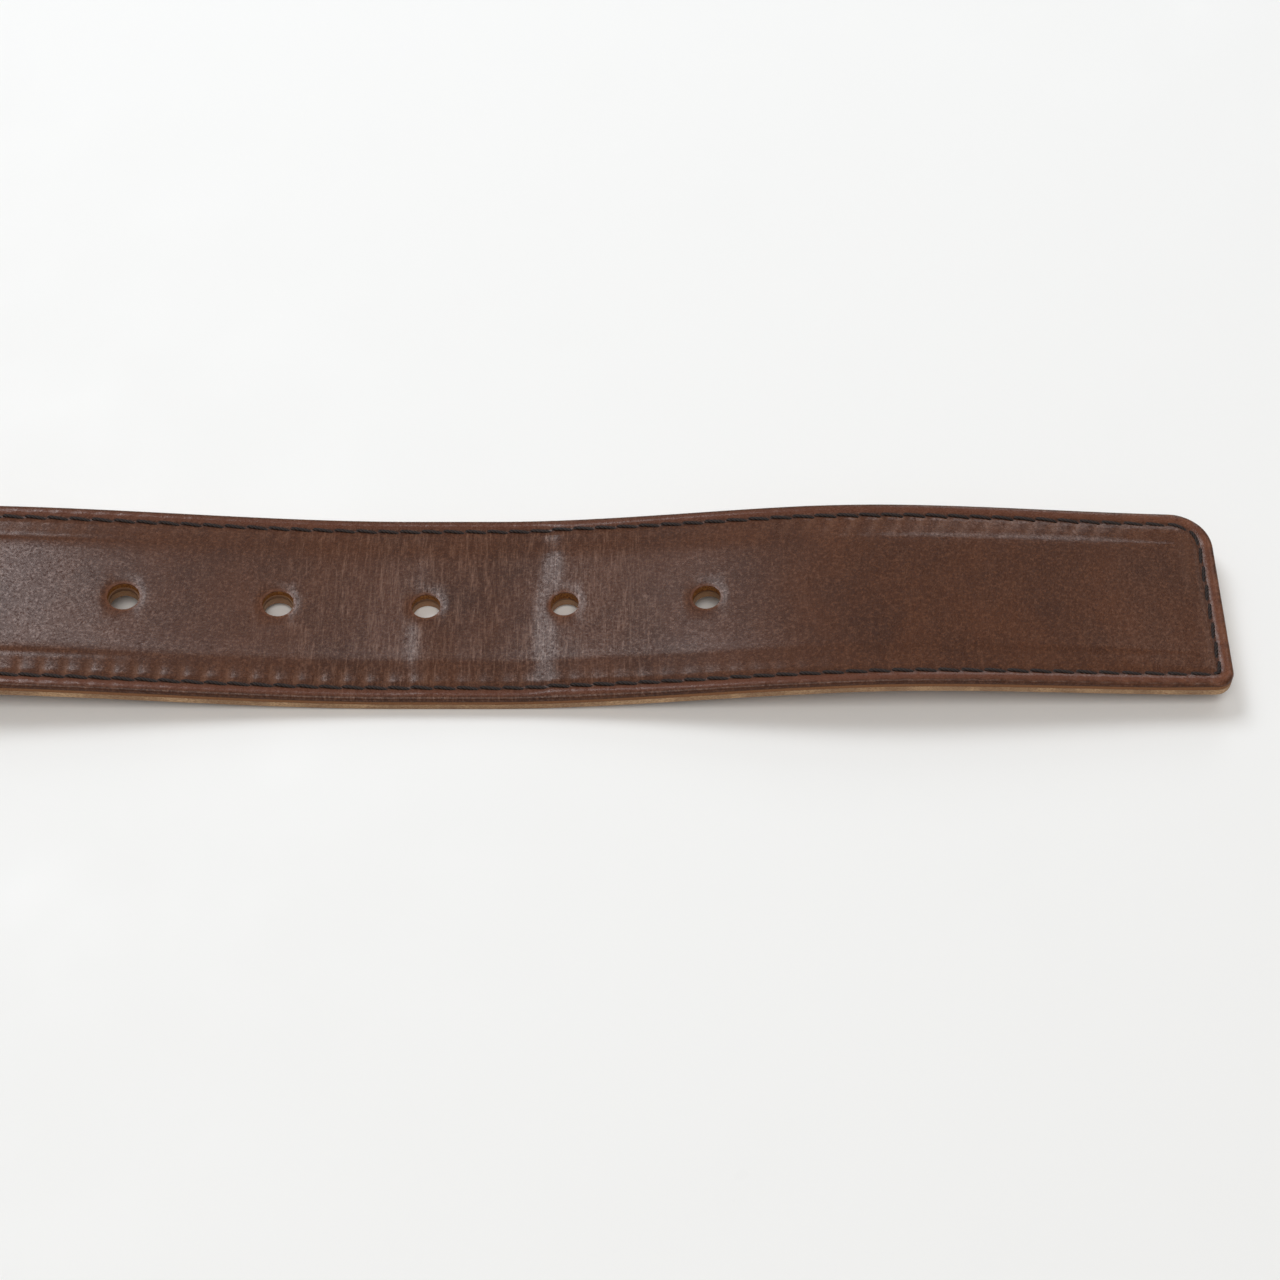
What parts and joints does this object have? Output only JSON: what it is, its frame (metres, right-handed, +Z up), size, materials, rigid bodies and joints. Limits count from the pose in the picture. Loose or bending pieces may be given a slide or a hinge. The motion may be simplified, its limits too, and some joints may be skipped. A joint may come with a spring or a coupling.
{
  "type": "leather belt",
  "caption": "Lined and padded brown dress belt: punched tail lying flat, the rest in an open standing loop that ends in a heel-bar buckle with prong and keeper.",
  "frame": {"origin": "the middle of the belt's outline on the table, as it lies", "axes": "+X along the flat tail, from the loop towards the tip; +Z up from the table; the buckle end runs along -Y, face towards +X"},
  "size_m": [0.5406, 0.2974, 0.052],
  "materials": {
    "outer_leather": "waxed semi-matt, fine pebble grain, warm brown",
    "lining_leather": "undyed tan, matt, raw edge",
    "filler_board": "bonded leather board, matt",
    "black_thread": "twisted bonded thread, near black",
    "buckle_nickel": "satin nickel plate",
    "screw_nickel": "polished nickel plate"
  },
  "bodies": {
    "strap": {"outer_leather": "outer_leather", "lining_leather": "lining_leather", "filler_strip": "filler_board", "face_thread": "black_thread", "back_thread": "black_thread", "front_screw_post": "screw_nickel", "front_screw": "screw_nickel", "rear_screw_post": "screw_nickel", "rear_screw": "screw_nickel"},
    "buckle": {"buckle_frame": "buckle_nickel", "buckle_bar": "buckle_nickel"},
    "prong": {"prong": "buckle_nickel"},
    "keeper": {"keeper": "outer_leather"}
  },
  "joints": [
    {"name": "buckle_hinge", "type": "hinge", "parent": "strap", "child": "buckle", "pos_m": [-0.03989, -0.05402, 0.026], "axis": [0, 0, 1], "range_deg": [-60, 30]},
    {"name": "prong_hinge", "type": "hinge", "parent": "buckle", "child": "prong", "pos_m": [-0.03989, -0.05402, 0.026], "axis": [0, 0, 1], "range_deg": [0, 100]},
    {"name": "keeper_slide", "type": "slide", "parent": "strap", "child": "keeper", "axis": [0, 1, 0], "range_m": [-0.004, 0.004]}
  ]
}
